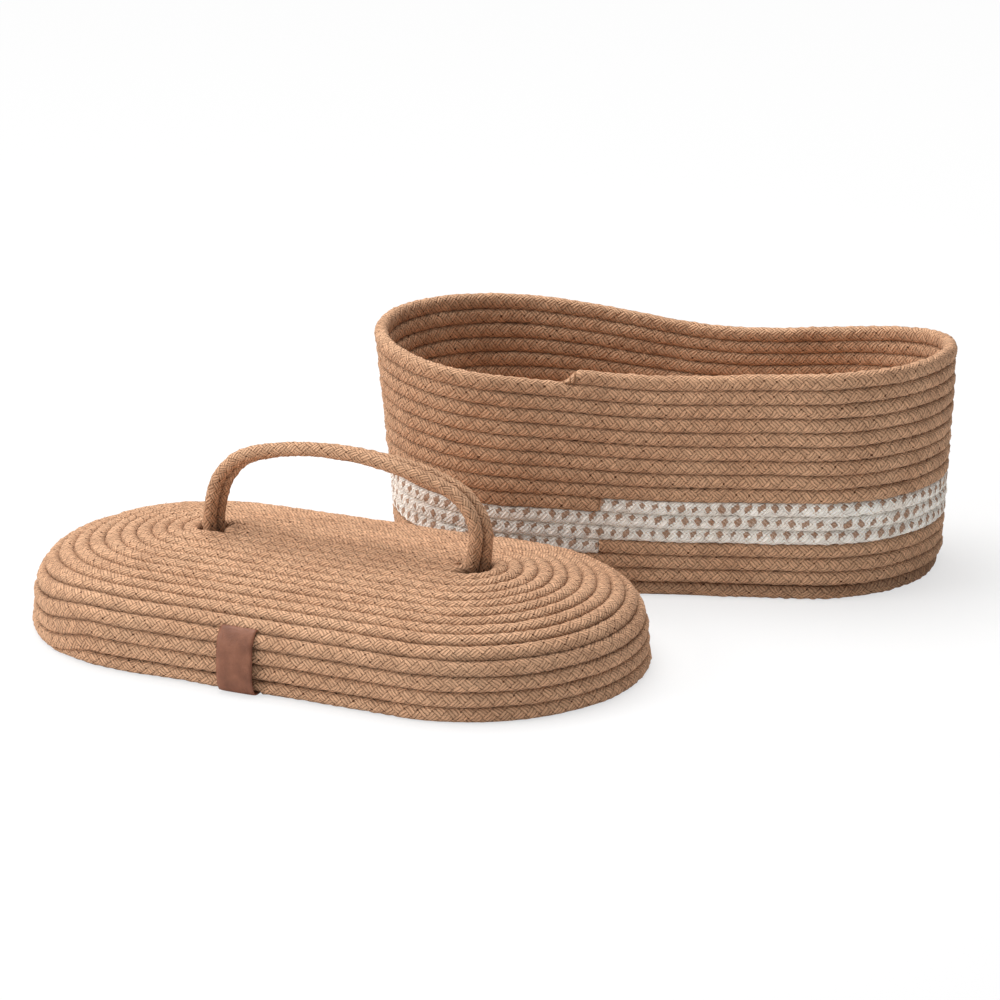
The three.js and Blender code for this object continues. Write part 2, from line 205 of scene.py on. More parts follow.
def cord_mesh(name, rings, along_count, round_count, meets, outward):
    """Rings of points closed into one mesh, with a UV map that counts plaits along and round the cord.

    "meets" says for each point how squarely it faces the next row, and the cotton material darkens the cord
    by it as painted shade in the groove.
    """
    rows, sides = rings.shape[:2]
    verts = np.concatenate([rings.reshape(-1, 3), rings[0].mean(0)[None], rings[-1].mean(0)[None]])
    here = np.arange(sides)
    beside = (here + 1) % sides
    ring = np.arange(rows - 1)[:, None] * sides
    quads = np.stack([ring + here, ring + beside, ring + sides + beside, ring + sides + here], -1)
    quads = quads.reshape(-1, 4)
    first = np.stack([np.full(sides, rows * sides), here, beside], 1)[:, ::-1]
    last_ring = (rows - 1) * sides
    last = np.stack([np.full(sides, rows * sides + 1), last_ring + here, last_ring + beside], 1)
    if outward < 0:
        quads, first, last = quads[:, ::-1], first[:, ::-1], last[:, ::-1]
    loops = np.concatenate([quads.ravel(), first.ravel(), last.ravel()])
    sizes = np.concatenate([np.full(len(quads), 4), np.full(2 * sides, 3)])
    starts = np.concatenate([[0], np.cumsum(sizes)[:-1]])
    mesh = bpy.data.meshes.new(name)
    mesh.vertices.add(len(verts))
    mesh.vertices.foreach_set("co", (verts * MM).astype(np.float32).ravel())
    mesh.loops.add(len(loops))
    mesh.loops.foreach_set("vertex_index", loops.astype(np.int32))
    mesh.polygons.add(len(sizes))
    mesh.polygons.foreach_set("loop_start", starts.astype(np.int32))
    mesh.polygons.foreach_set("loop_total", sizes.astype(np.int32))
    mesh.update(calc_edges=True)
    # the count round the cord is carried past the last side, so that no face folds back
    ring_of = np.minimum(loops // sides, rows - 1)
    side_of = np.where(loops < rows * sides, loops % sides, 0).astype(float)
    highest = np.repeat(np.maximum.reduceat(side_of, starts), sizes)
    side_of = np.where((highest == sides - 1) & (side_of == 0), sides, side_of)
    uv = np.stack([along_count[ring_of], side_of / sides * PLAITS_ROUND + round_count[ring_of]], 1)
    layer = mesh.uv_layers.new(name="braid")
    layer.data.foreach_set("uv", uv.astype(np.float32).ravel())
    painted_groove_shade = mesh.attributes.new("meets", "FLOAT", "POINT")
    painted_groove_shade.data.foreach_set("value", np.concatenate([meets.ravel(), [0, 0]]).astype(np.float32))
    mesh.shade_smooth()
    return mesh


def braided_cord(name, middle, across, half_room, sides, step, seed, outward, holes=False,
                 ends=(0.8, 0.8), place=None, thick=4.25, relief=0.55, roll=0.25, drift=0.3, floor=None,
                 flat=0.76, sewn_down=False, plait=7.9, free=None):
    """A braided cord as one closed mesh, laid along the points of its middle.

    "across" points at the next row, and "half_room" is half the room to it. "ends" are the lengths of
    the two rounded ends. The cord twists a little on its way, so that the plaits drift round it, and
    "holes" sinks the places where the diamonds show. "sewn_down" lets its last end slope down onto
    the row below. "free" is 1 where no further row lies against it. "floor" is its lowest height.
    """
    hop = np.linalg.norm(np.diff(middle, axis=0), axis=1)
    measured = np.concatenate([[0], np.cumsum(hop)])
    length = measured[-1]
    at = np.linspace(0, length, int(length / step))
    for end, size in ((0, ends[0]), (1, ends[1])):
        extra = size * (1 - np.cos(np.linspace(0, math.pi / 2, 6)))
        at = np.concatenate([at, extra if end == 0 else length - extra])
    at = np.unique(np.round(at, 4))
    centre = np.stack([np.interp(at, measured, middle[:, k]) for k in range(3)], 1)
    to_row = np.stack([np.interp(at, measured, across[:, k]) for k in range(3)], 1)
    half = np.interp(at, measured, half_room)
    low = np.full(len(at), LOWEST) if floor is None else np.interp(at, measured, floor)
    run = unit(np.gradient(centre, at, axis=0))
    to_row = unit(to_row - run * np.sum(to_row * run, axis=1)[:, None])
    to_face = np.cross(run, to_row) * outward
    centre = centre + to_face * wobble(at, seed, 0.55, 60)[:, None]
    centre = centre + to_row * wobble(at, seed + 1, 0.3, 45)[:, None]
    shrink = np.ones(len(at))
    for distance, size in ((at, ends[0]), (at[-1] - at, ends[1])):
        inside = np.clip(1 - distance / size, 0, 1)
        shrink *= np.sqrt(np.maximum(1 - inside ** 2, 0)) * 0.9 + 0.1
    if sewn_down:
        near = np.clip((at[-1] - at) / ends[1], 0, 1)
        slope = 0.14 + 0.86 * near * near * (3 - 2 * near)
        centre = centre - to_row * (half * (1 - slope))[:, None]
        half = half * slope
        shrink = np.where(near < 1, 0.4 + 0.6 * np.sqrt(np.maximum(1 - (1 - near) ** 3, 0)), shrink)
    theta = np.arange(sides) / sides * 2 * math.pi
    face_shape = np.sign(np.cos(theta)) * np.abs(np.cos(theta)) ** flat
    row_shape = np.sign(np.sin(theta)) * np.abs(np.sin(theta)) ** max(flat, 0.8)
    meets = np.abs(np.sin(theta))[None, :] * np.ones((len(at), 1))
    if free is not None:
        beside_row = 1 - np.interp(at, measured, free)[:, None]
        meets = np.where(np.sin(theta)[None, :] > 0, meets * beside_row, meets)
    # u and v count the plaits along and round the cord, as its UV map does
    u = at / plait
    twist = roll + wobble(at, seed + 3, drift, 150)
    v = theta[None, :] / (2 * math.pi) * PLAITS_ROUND + twist[:, None]
    # one soft hill over each crossing of the braid, with a little unevenness of its own
    hill = np.abs(np.sin(math.pi * (v - u[:, None])) * np.sin(math.pi * (v + u[:, None]))) - 0.5
    if holes:
        du = np.abs((u + 0.5) % 1 - 0.5)[:, None] / 0.34
        dv = np.abs((v - 0.5 + 1) % 2 - 1) / 0.36
        hill = hill - np.clip(1.1 - du - dv, 0, 1) * 1.1
    rough = np.random.default_rng(seed + 5).normal(0, 0.3, hill.shape)
    rough = rough + np.roll(rough, 1, 0) + np.roll(rough, 1, 1) + np.roll(rough, (1, 1), (0, 1))
    hill = hill + rough * 0.5
    girth = thick * (1 + wobble(at, seed + 2, 0.05, 80))[:, None]
    wide = girth * shrink[:, None] + relief * hill * shrink[:, None]
    tall = (half * shrink)[:, None] + 0.6 * relief * hill
    rings = (centre[:, None, :] + to_face[:, None, :] * (face_shape[None, :] * wide)[..., None]
             + to_row[:, None, :] * (row_shape[None, :] * tall)[..., None])
    if place is not None:
        rings = place(rings.reshape(-1, 3)).reshape(rings.shape)
    rings[..., 2] = np.maximum(rings[..., 2], low[:, None])
    return add_object(name, cord_mesh(name, rings, u, twist, meets, outward))


def maths(tree, kind, a, b=None, c=None):
    node = tree.nodes.new("ShaderNodeMath")
    node.operation = kind
    for k, value in enumerate((a, b, c)):
        if value is None:
            continue
        if isinstance(value, (int, float)):
            node.inputs[k].default_value = value
        else:
            tree.links.new(value, node.inputs[k])
    return node.outputs[0]


def set_inputs(node, values):
    for socket, value in values.items():
        node.inputs[socket].default_value = value
    return node


def new_group(name, kind, inputs, outputs):
    """A node group with named sockets, and its input and output nodes."""
    group = bpy.data.node_groups.new(name, kind)
    for way, sockets in (("INPUT", inputs), ("OUTPUT", outputs)):
        for socket, socket_type in sockets.items():
            group.interface.new_socket(socket, in_out=way, socket_type=socket_type)
    return group, group.nodes.new("NodeGroupInput"), group.nodes.new("NodeGroupOutput")


def plait_group():
    """Masks of the braid from the plait count: which strand lies on top, its yarns and its gaps."""
    plain = "NodeSocketFloat"
    group, into, out = new_group(
        "braided_plaits", "ShaderNodeTree",
        {"Plaits": "NodeSocketVector", "Yarns": plain, "Chinks": plain,
         "Hole row": plain, "Hole size": plain},
        {"Height": plain, "Tone": plain, "Hole": plain})

    def calc(kind, *values):
        return maths(group, kind, *values)

    def held(value, low, high):
        return calc("MINIMUM", calc("MAXIMUM", value, low), high)

    def from_nearest(value):
        return calc("ABSOLUTE", calc("WRAP", value, 0.5, -0.5))

    def luck(*numbers):
        """A random value that stays the same for the same whole numbers."""
        node = group.nodes.new("ShaderNodeTexWhiteNoise")
        if len(numbers) == 1:
            node.noise_dimensions = "1D"
            group.links.new(numbers[0], node.inputs["W"])
            return node.outputs["Value"]
        cell = group.nodes.new("ShaderNodeCombineXYZ")
        for k, number in enumerate(numbers):
            group.links.new(number, cell.inputs[k])
        group.links.new(cell.outputs[0], node.inputs["Vector"])
        return node.outputs["Value"]

    # p and q count the strands that run the two slanted ways, and one hides the other in turn
    split = group.nodes.new("ShaderNodeSeparateXYZ")
    group.links.new(into.outputs["Plaits"], split.inputs[0])
    u, v = split.outputs[0], split.outputs[1]
    p, q = calc("SUBTRACT", v, u), calc("ADD", v, u)
    low_p, low_q = calc("FLOOR", p), calc("FLOOR", q)
    part_p, part_q = calc("FRACT", p), calc("FRACT", q)
    odd = calc("FLOORED_MODULO", calc("ADD", low_p, low_q), 2.0)
    shift = calc("MULTIPLY", odd, calc("SUBTRACT", part_q, part_p))
    across = calc("SUBTRACT", calc("ADD", part_p, shift), 0.5)
    along = calc("SUBTRACT", calc("SUBTRACT", part_q, shift), 0.5)
    # a plait sinks towards its sides and ends, and its yarns lie on it as ridges
    side = calc("POWER", calc("ABSOLUTE", calc("MULTIPLY", across, 2.0)), 3.0)
    end = calc("POWER", calc("ABSOLUTE", calc("MULTIPLY", along, 2.0)), 5.0)
    body = calc("SUBTRACT", 1.0, calc("MULTIPLY_ADD", side, 0.13, calc("MULTIPLY", end, 0.25)))
    count = calc("MULTIPLY", calc("ADD", across, 0.5), into.outputs["Yarns"])
    ridge = calc("ABSOLUTE", calc("SINE", calc("MULTIPLY", count, math.pi)))
    yarn = calc("POWER", ridge, 0.7)
    height = calc("MULTIPLY", body, calc("MULTIPLY_ADD", yarn, 0.5, 0.5))
    # chinks open where four plaits meet, most of them very small
    from_corner = calc("ADD", from_nearest(p), from_nearest(q))
    chink_luck = calc("POWER", luck(calc("ROUND", p), calc("ROUND", q)), 2.0)
    chink = calc("SUBTRACT", calc("MULTIPLY", chink_luck, into.outputs["Chinks"]), from_corner)
    chink = held(calc("MULTIPLY", chink, 6.0), 0.0, 0.6)
    height = calc("MULTIPLY", height, calc("SUBTRACT", 1.0, chink))
    group.links.new(height, out.inputs["Height"])
    group.links.new(luck(low_p, low_q, calc("FLOOR", count)), out.inputs["Tone"])
    # one slanted diamond for each plait along the hole row, each with its own size and slant
    diamond = calc("ROUND", u)
    from_row = calc("WRAP", calc("SUBTRACT", v, into.outputs["Hole row"]), 1.0, -1.0)
    slant = calc("MULTIPLY", calc("SUBTRACT", luck(calc("ADD", diamond, 0.37)), 0.1), 0.7)
    near_u = from_nearest(calc("MULTIPLY_ADD", from_row, slant, u))
    near_v = calc("ABSOLUTE", from_row)
    reach = calc("MULTIPLY_ADD", near_u, 3.4, calc("MULTIPLY", near_v, 2.7))
    reach = calc("MULTIPLY_ADD", yarn, 0.22, reach)
    size = calc("MULTIPLY", calc("MULTIPLY_ADD", luck(diamond), 0.4, 1.0), into.outputs["Hole size"])
    hole = held(calc("MULTIPLY", calc("SUBTRACT", size, reach), 3.2), 0.0, 0.9)
    group.links.new(hole, out.inputs["Hole"])
    return group


def soft_noise(tree, where, scale, detail=2.0):
    """Noise over the object's own coordinates, from 0 to 1."""
    node = set_inputs(tree.nodes.new("ShaderNodeTexNoise"), {"Scale": scale, "Detail": detail})
    tree.links.new(where.outputs["Object"], node.inputs["Vector"])
    return node


def two_tone(tree, value, dark, light, deep, full):
    """The dark colour below one value, the light one above another, and a blend between them."""
    ramp = tree.nodes.new("ShaderNodeValToRGB")
    ramp.color_ramp.elements[0].position = deep
    ramp.color_ramp.elements[0].color = (*dark, 1)
    ramp.color_ramp.elements[1].position = full
    ramp.color_ramp.elements[1].color = (*light, 1)
    tree.links.new(value, ramp.inputs[0])
    return ramp.outputs[0]


def remapped(tree, value, low, high, at_low=0.0, at_high=1.0):
    """A value carried from one range to another and held at its ends."""
    node = set_inputs(tree.nodes.new("ShaderNodeMapRange"), {
        "From Min": low, "From Max": high, "To Min": at_low, "To Max": at_high,
    })
    tree.links.new(value, node.inputs["Value"])
    return node.outputs[0]


plaits = plait_group()


def braided_cotton(name, light, dark, core, chinks, hole_size, deep, full, bright, painted_groove_shade):
    """Braided cotton: light yarns, painted shade in the gaps between the plaits, a tone for each yarn, fine
    fuzz.

    "core" is the colour that shows in the holes, "deep" and "full" are the heights at which a yarn is
    dark with painted shade and at which it is light, "bright" is the lowest tone, and "groove" paints shade
    on the cord where it meets the next row.
    """
    mat = bpy.data.materials.new(name)
    mat.use_nodes = True
    tree = mat.node_tree
    tree.nodes.clear()
    link = tree.links.new
    out = tree.nodes.new("ShaderNodeOutputMaterial")
    shader = set_inputs(tree.nodes.new("ShaderNodeBsdfPrincipled"), {
        "Roughness": 0.92, "Specular IOR Level": 0.08, "Sheen Weight": 0.04, "Sheen Roughness": 0.6,
    })
    link(shader.outputs[0], out.inputs[0])
    where = tree.nodes.new("ShaderNodeTexCoord")
    # the plait count is pulled about a little, so that no two plaits are quite alike
    uv = tree.nodes.new("ShaderNodeUVMap")
    uv.uv_map = "braid"
    bend = soft_noise(tree, where, 130.0)
    centred = tree.nodes.new("ShaderNodeVectorMath")
    centred.operation = "SUBTRACT"
    link(bend.outputs["Color"], centred.inputs[0])
    centred.inputs[1].default_value = (0.5, 0.5, 0.5)
    pulled = tree.nodes.new("ShaderNodeVectorMath")
    pulled.operation = "MULTIPLY_ADD"
    link(centred.outputs[0], pulled.inputs[0])
    pulled.inputs[1].default_value = (0.3, 0.25, 0.0)
    link(uv.outputs[0], pulled.inputs[2])
    braid = tree.nodes.new("ShaderNodeGroup")
    braid.node_tree = plaits
    set_inputs(braid, {"Yarns": 3.0, "Chinks": chinks, "Hole row": 0.5, "Hole size": hole_size})
    link(pulled.outputs[0], braid.inputs["Plaits"])
    height, hole = braid.outputs["Height"], braid.outputs["Hole"]
    fuzz = soft_noise(tree, where, 1400.0, 3.0).outputs["Fac"]
    patch = soft_noise(tree, where, 38.0, 3.0).outputs["Fac"]
    ruffled = maths(tree, "MULTIPLY_ADD", maths(tree, "SUBTRACT", fuzz, 0.5), 0.8, height)
    # the yarn's colour follows its height: the low places between plaits and yarns and the chinks take the
    # dark colour as painted shade
    yarn_colour = two_tone(tree, ruffled, dark, light, deep, full)
    # tone of the single yarn and of the larger patch, and painted shade in the groove where the cord meets
    # the next row
    shade = maths(tree, "MULTIPLY_ADD", braid.outputs["Tone"], 0.26, bright)
    uneven = maths(tree, "MULTIPLY", maths(tree, "SUBTRACT", patch, 0.5), 0.35)
    shade = maths(tree, "ADD", shade, uneven)
    meets = tree.nodes.new("ShaderNodeAttribute")
    meets.attribute_name = "meets"
    # painted shade: darker where the cord squarely faces the next row, or the other handle cord
    groove_shade_factor = remapped(tree, meets.outputs["Fac"], 0.55, 1.0, 1.0, painted_groove_shade)
    shade = maths(tree, "MULTIPLY", shade, groove_shade_factor)
    grey = tree.nodes.new("ShaderNodeCombineColor")
    warm = maths(tree, "MULTIPLY_ADD", patch, 0.12, -0.06)
    for channel, drift in enumerate((0.0, 1.0, 1.6)):
        link(maths(tree, "MULTIPLY_ADD", warm, drift, shade), grey.inputs[channel])
    toned = tree.nodes.new("ShaderNodeMix")
    toned.data_type = "RGBA"
    toned.blend_type = "MULTIPLY"
    toned.inputs["Factor"].default_value = 1.0
    link(yarn_colour, toned.inputs["A"])
    link(grey.outputs[0], toned.inputs["B"])
    peek = tree.nodes.new("ShaderNodeMix")
    peek.data_type = "RGBA"
    frayed = maths(tree, "MULTIPLY", hole, maths(tree, "MULTIPLY_ADD", fuzz, 1.2, 0.35))
    link(maths(tree, "MINIMUM", frayed, 1.0), peek.inputs["Factor"])
    link(toned.outputs["Result"], peek.inputs["A"])
    peek.inputs["B"].default_value = (*core, 1)
    link(peek.outputs["Result"], shader.inputs["Base Color"])
    rise = maths(tree, "MULTIPLY_ADD", hole, -0.8, height)
    bump = set_inputs(tree.nodes.new("ShaderNodeBump"), {"Strength": 0.9, "Distance": 0.0012})
    link(maths(tree, "MULTIPLY_ADD", fuzz, 0.16, rise), bump.inputs["Height"])
    link(bump.outputs[0], shader.inputs["Normal"])
    return mat


# the dark colour is painted shade in the gaps between plaits and yarns, and the groove setting paints shade
# where rows meet
tan_cotton = braided_cotton(
    "tan_braided_cotton", light=(0.7, 0.41, 0.247), dark=(0.11, 0.041, 0.017), core=(0.1, 0.04, 0.018),
    chinks=0.2, hole_size=0.0, deep=0.3, full=0.85, bright=0.86, painted_groove_shade=0.7)
STEP = 1.64
# the cord starts late in the turn before the first full one
HAIRPIN_START = 0.855
base_walk = basket_walk(-FLOOR_TURNS - 1 + HAIRPIN_START, BASE_ROWS - BUTT / LOOP, STEP)
base_rope = braided_cord("base_rope_braid", *basket_rows(base_walk), sides=18, step=STEP, seed=11, outward=-1)
base_rope.data.materials.append(tan_cotton)
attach(base_rope, "basket")
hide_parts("base_rope")


def loose_fibre_tree():
    """Geometry Nodes: short bent fibres strewn over a cord, each lying close to its surface."""
    tree, into, out = new_group(
        "loose_fibres", "GeometryNodeTree",
        {"Cord": "NodeSocketGeometry", "Density": "NodeSocketFloat", "Length": "NodeSocketFloat",
         "Seed": "NodeSocketInt", "Finish": "NodeSocketMaterial"},
        {"Fibres": "NodeSocketGeometry"})
    strewn = tree.nodes.new("GeometryNodeDistributePointsOnFaces")
    bend = set_inputs(tree.nodes.new("GeometryNodeCurveQuadraticBezier"), {
        "Resolution": 4, "Start": (-0.35, 0.0, -0.12),
        "Middle": (0.2, 0.12, 0.28), "End": (0.6, -0.1, 0.42),
    })
    round_end = set_inputs(tree.nodes.new("GeometryNodeCurvePrimitiveCircle"), {
        "Resolution": 3, "Radius": 0.04,
    })
    fibre = tree.nodes.new("GeometryNodeCurveToMesh")
    fibre.inputs["Fill Caps"].default_value = True
    lean = tree.nodes.new("FunctionNodeRandomValue")
    lean.data_type = "FLOAT_VECTOR"
    set_inputs(lean, {"Min": (-0.4, -0.3, 0.0), "Max": (0.4, 0.3, 2 * math.pi)})
    turn = tree.nodes.new("FunctionNodeEulerToRotation")
    aim = tree.nodes.new("FunctionNodeRotateRotation")
    aim.rotation_space = "LOCAL"
    size = tree.nodes.new("FunctionNodeRandomValue")
    size.inputs[2].default_value = 0.5
    size.inputs[3].default_value = 1.4
    scale = tree.nodes.new("ShaderNodeMath")
    scale.operation = "MULTIPLY"
    put = tree.nodes.new("GeometryNodeInstanceOnPoints")
    real = tree.nodes.new("GeometryNodeRealizeInstances")
    finish = tree.nodes.new("GeometryNodeSetMaterial")
    link = tree.links.new
    link(into.outputs["Cord"], strewn.inputs["Mesh"])
    link(into.outputs["Density"], strewn.inputs["Density"])
    link(into.outputs["Seed"], strewn.inputs["Seed"])
    link(into.outputs["Seed"], lean.inputs["Seed"])
    link(into.outputs["Seed"], size.inputs["Seed"])
    link(bend.outputs["Curve"], fibre.inputs["Curve"])
    link(round_end.outputs["Curve"], fibre.inputs["Profile Curve"])
    link(lean.outputs[0], turn.inputs[0])
    link(strewn.outputs["Rotation"], aim.inputs["Rotation"])
    link(turn.outputs[0], aim.inputs["Rotate By"])
    link(size.outputs[1], scale.inputs[0])
    link(into.outputs["Length"], scale.inputs[1])
    link(strewn.outputs["Points"], put.inputs["Points"])
    link(fibre.outputs["Mesh"], put.inputs["Instance"])
    link(aim.outputs[0], put.inputs["Rotation"])
    link(scale.outputs[0], put.inputs["Scale"])
    link(put.outputs["Instances"], real.inputs["Geometry"])
    link(real.outputs["Geometry"], finish.inputs["Geometry"])
    link(into.outputs["Finish"], finish.inputs["Material"])
    link(finish.outputs["Geometry"], out.inputs["Fibres"])
    return tree


def grown_from(source, tree, name, **values):
    """Run a Geometry Nodes tree on a copy of a mesh and keep the result as a plain mesh object."""
    carrier = add_object(name + "_source", source)
    modifier = carrier.modifiers.new("nodes", "NODES")
    modifier.node_group = tree
    for item in tree.interface.items_tree:
        if item.in_out == "INPUT" and item.name in values:
            modifier[item.identifier] = values[item.name]
    ready = carrier.evaluated_get(bpy.context.evaluated_depsgraph_get())
    mesh = bpy.data.meshes.new_from_object(ready)
    mesh.name = name
    mesh.materials.clear()
    mesh.materials.append(values["Finish"])
    mesh.polygons.foreach_set("material_index", np.zeros(len(mesh.polygons), np.int32))
    # nothing may reach below the floor
    clearance = 0.05 * MM
    points = np.empty(len(mesh.vertices) * 3, np.float32)
    mesh.vertices.foreach_get("co", points)
    points[2::3] = np.maximum(points[2::3], clearance)
    mesh.vertices.foreach_set("co", points)
    mesh.update()
    bpy.data.objects.remove(carrier)
    return add_object(name, mesh)


def plain_thread(name, light, dark):
    """Cotton thread and single fibres: one colour that varies softly from place to place."""
    mat = bpy.data.materials.new(name)
    mat.use_nodes = True
    tree = mat.node_tree
    shader = set_inputs(tree.nodes["Principled BSDF"], {"Roughness": 0.9, "Specular IOR Level": 0.1})
    where = tree.nodes.new("ShaderNodeTexCoord")
    tone = soft_noise(tree, where, 260.0)
    colour = two_tone(tree, tone.outputs["Fac"], dark, light, 0.3, 0.7)
    tree.links.new(colour, shader.inputs["Base Color"])
    return mat


fibre_tree = loose_fibre_tree()
tan_thread = plain_thread("tan_thread", light=(0.7, 0.43, 0.27), dark=(0.45, 0.24, 0.13))


def fibres_on(cord, name, body, density, length, seed, finish):
    """Loose fibres of one cord, as an object of their own on the cord's body."""
    fibres = grown_from(
        cord.data, fibre_tree, name, Density=density, Length=length * MM, Seed=seed, Finish=finish)
    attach(fibres, body)


fibres_on(base_rope, "base_rope_fibres", "basket", density=5000.0, length=3.0, seed=3,
          finish=tan_thread)

# Band rope: the pale stripe, three rows of the same cord with white cotton lashed over it.
# The tan cord shows through the white in small diamonds. It butts against the tan cords at the seam.
# the dark colour is painted shade between the white strands, and the groove setting paints shade where rows
# meet
white_cotton = braided_cotton(
    "white_braided_cotton", light=(1.0, 0.94, 0.86), dark=(0.36, 0.24, 0.165), core=(0.42, 0.22, 0.12),
    chinks=0.0, hole_size=1.08, deep=0.22, full=0.7, bright=0.97, painted_groove_shade=0.8)
# its last row ends where the wall rope starts
BAND_END = BASE_ROWS + BAND_ROWS
BAND_STEP = 1.37
band_walk = basket_walk(BASE_ROWS + BUTT / LOOP, BAND_END - BUTT / LOOP, BAND_STEP)
band_rope = braided_cord(
    "band_rope_braid", *basket_rows(band_walk), sides=24, step=BAND_STEP, seed=23, outward=-1,
    holes=True, relief=0.65, roll=0.3, drift=0.35, plait=8.2)
band_rope.data.materials.append(white_cotton)
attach(band_rope, "basket")
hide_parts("band_rope")

white_thread = plain_thread("white_thread", light=(0.95, 0.9, 0.82), dark=(0.7, 0.62, 0.53))
fibres_on(band_rope, "band_rope_fibres", "basket", density=12000.0, length=3.4, seed=5,
          finish=white_thread)

# Wall rope: the nine upper rows of the wall in tan cord. It ends on the rim at the front,
# where its last two centimetres lie one cord higher than the rest and slope down onto the row
# below, with a few turns of sewing thread over the sloping end.
RIM_TAIL = 23.0
WALL_SIDES = 20
WALL_END = BAND_END + WALL_ROWS
wall_walk = basket_walk(BAND_END + BUTT / LOOP, WALL_END + RIM_TAIL / LOOP, STEP)
on_rim = 1.0 * (wall_walk["turn"] + wall_walk["along"] > WALL_END - 1)
wall_rope = braided_cord(
    "wall_rope_braid", *basket_rows(wall_walk), sides=WALL_SIDES, step=STEP, seed=37, outward=-1,
    ends=(1.5, 10.0), sewn_down=True, free=on_rim)
wall_rope.data.materials.append(tan_cotton)
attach(wall_rope, "basket")
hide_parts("wall_rope")

fibres_on(wall_rope, "wall_rope_fibres", "basket", density=6500.0, length=3.0, seed=7,
          finish=tan_thread)


def thread_tree():
    """Geometry Nodes: thread laid along the edges of a mesh."""
    tree, into, out = new_group(
        "thread_turns", "GeometryNodeTree",
        {"Path": "NodeSocketGeometry", "Thickness": "NodeSocketFloat", "Finish": "NodeSocketMaterial"},
        {"Thread": "NodeSocketGeometry"})
    line = tree.nodes.new("GeometryNodeMeshToCurve")
    half = tree.nodes.new("ShaderNodeMath")
    half.operation = "MULTIPLY"
    half.inputs[1].default_value = 0.5
    ring = tree.nodes.new("GeometryNodeCurvePrimitiveCircle")
    ring.inputs["Resolution"].default_value = 6
    tube = tree.nodes.new("GeometryNodeCurveToMesh")
    tube.inputs["Fill Caps"].default_value = True
    real = tree.nodes.new("GeometryNodeRealizeInstances")
    finish = tree.nodes.new("GeometryNodeSetMaterial")
    link = tree.links.new
    link(into.outputs["Path"], line.inputs["Mesh"])
    link(into.outputs["Thickness"], half.inputs[0])
    link(half.outputs[0], ring.inputs["Radius"])
    link(line.outputs["Curve"], tube.inputs["Curve"])
    link(ring.outputs["Curve"], tube.inputs["Profile Curve"])
    link(tube.outputs["Mesh"], real.inputs["Geometry"])
    link(real.outputs["Geometry"], finish.inputs["Geometry"])
    link(into.outputs["Finish"], finish.inputs["Material"])
    link(finish.outputs["Geometry"], out.inputs["Thread"])
    return tree


# each turn of thread lies just outside a ring of the cord's mesh and slants to the ring beside it
TURNS_FROM_TIP = (1.5, 3.2, 4.6, 6.4, 8.3)
STAND_OFF = 0.1 * MM
rings = np.array([v.co[:] for v in wall_rope.data.vertices])[:-2].reshape(-1, WALL_SIDES, 3)
backwards = rings.mean(1)[::-1]
hops = np.linalg.norm(np.diff(backwards, axis=0), axis=1)
from_tip = np.concatenate([[0], np.cumsum(hops)])[::-1] / MM
round_ring = np.arange(WALL_SIDES)
slanted = (0.5 + 0.5 * np.sin(round_ring / WALL_SIDES * 2 * math.pi))[:, None]
path, edges = [], []
for k, distance in enumerate(TURNS_FROM_TIP):
    here = int(np.argmin(np.abs(from_tip - distance)))
    there = int(np.argmin(np.abs(from_tip - distance - (0.9 if k % 2 else -0.6))))
    turn_ring = rings[here] * (1 - slanted) + rings[there] * slanted
    turn_ring = turn_ring + unit(turn_ring - turn_ring.mean(0)) * STAND_OFF
    edges += [(len(path) + j, len(path) + (j + 1) % WALL_SIDES) for j in range(WALL_SIDES)]
    path += [tuple(p) for p in turn_ring]
turns = bpy.data.meshes.new("rim_end_turns")
turns.from_pydata(path, edges, [])
dark_thread = plain_thread("sewing_thread", light=(0.46, 0.25, 0.14), dark=(0.2, 0.095, 0.048))
THREAD_THICK = 0.95
rim_thread = grown_from(
    turns, thread_tree(), "rim_end_thread", Thickness=THREAD_THICK * MM, Finish=dark_thread)
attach(rim_thread, "basket")

# Lid rope: one tan cord coiled into a shallow dome and turned down into an upright skirt.
# Its first turn is short, so that an eye is left at each end for the handle's feet. The lid
# lies in front of the basket, turned a little.
LID_RIDGE = 54.9
LID_REST = 3.9
LID_TURNS = 14
LID_STEP = 1.87
LID_SPOT = np.array([-188.6, -174.6, 0.0])
LID_YAW = math.radians(-19.0)
# how far the first turn reaches to each side, and how far one turn grows before the seam
SHORT_LEFT, SHORT_RIGHT = 66.5, 77.5
SEAM_GROWN = 1.5 / 14


def bezier(points, n=300):
    """A cubic curve through the first and last of four points."""
    t = np.linspace(0, 1, n)[:, None]
    a, b, c, d = (np.array(p, float) for p in points)
    return a * (1 - t) ** 3 + 3 * b * t * (1 - t) ** 2 + 3 * c * t * t * (1 - t) + d * t ** 3


# the lid's outline from the ridge over the dome and the shoulder down the skirt
DOME_EDGE, SKIRT_TOP, SKIRT_FOOT = (86, 41.2), (100, 22.5), (101.5, LID_REST)
lid_outline = np.concatenate([
    bezier([(0, LID_RIDGE), (30, LID_RIDGE), (62, 50.5), DOME_EDGE]),
    bezier([DOME_EDGE, (93, 38.5), (99.25, 31.5), SKIRT_TOP])[1:],
    np.linspace(SKIRT_TOP, SKIRT_FOOT, 50)[1:],
])
lid_length = np.concatenate([[0], np.cumsum(np.linalg.norm(np.diff(lid_outline, axis=0), axis=1))])
LID_PITCH = lid_length[-1] / (LID_TURNS + SEAM_GROWN + 0.75)


def on_outline(reach):
    """Radius and height of the outline at a distance from the ridge."""
    return [np.interp(reach, lid_length, lid_outline[:, k]) for k in (0, 1)]


def left_end(turn):
    """How far out the left round end of a turn starts. The inner ones lie close round the handle's foot."""
    return np.where(turn == 0, SHORT_LEFT, HALF - 0.5 * np.clip(8 - turn, 0, 7))


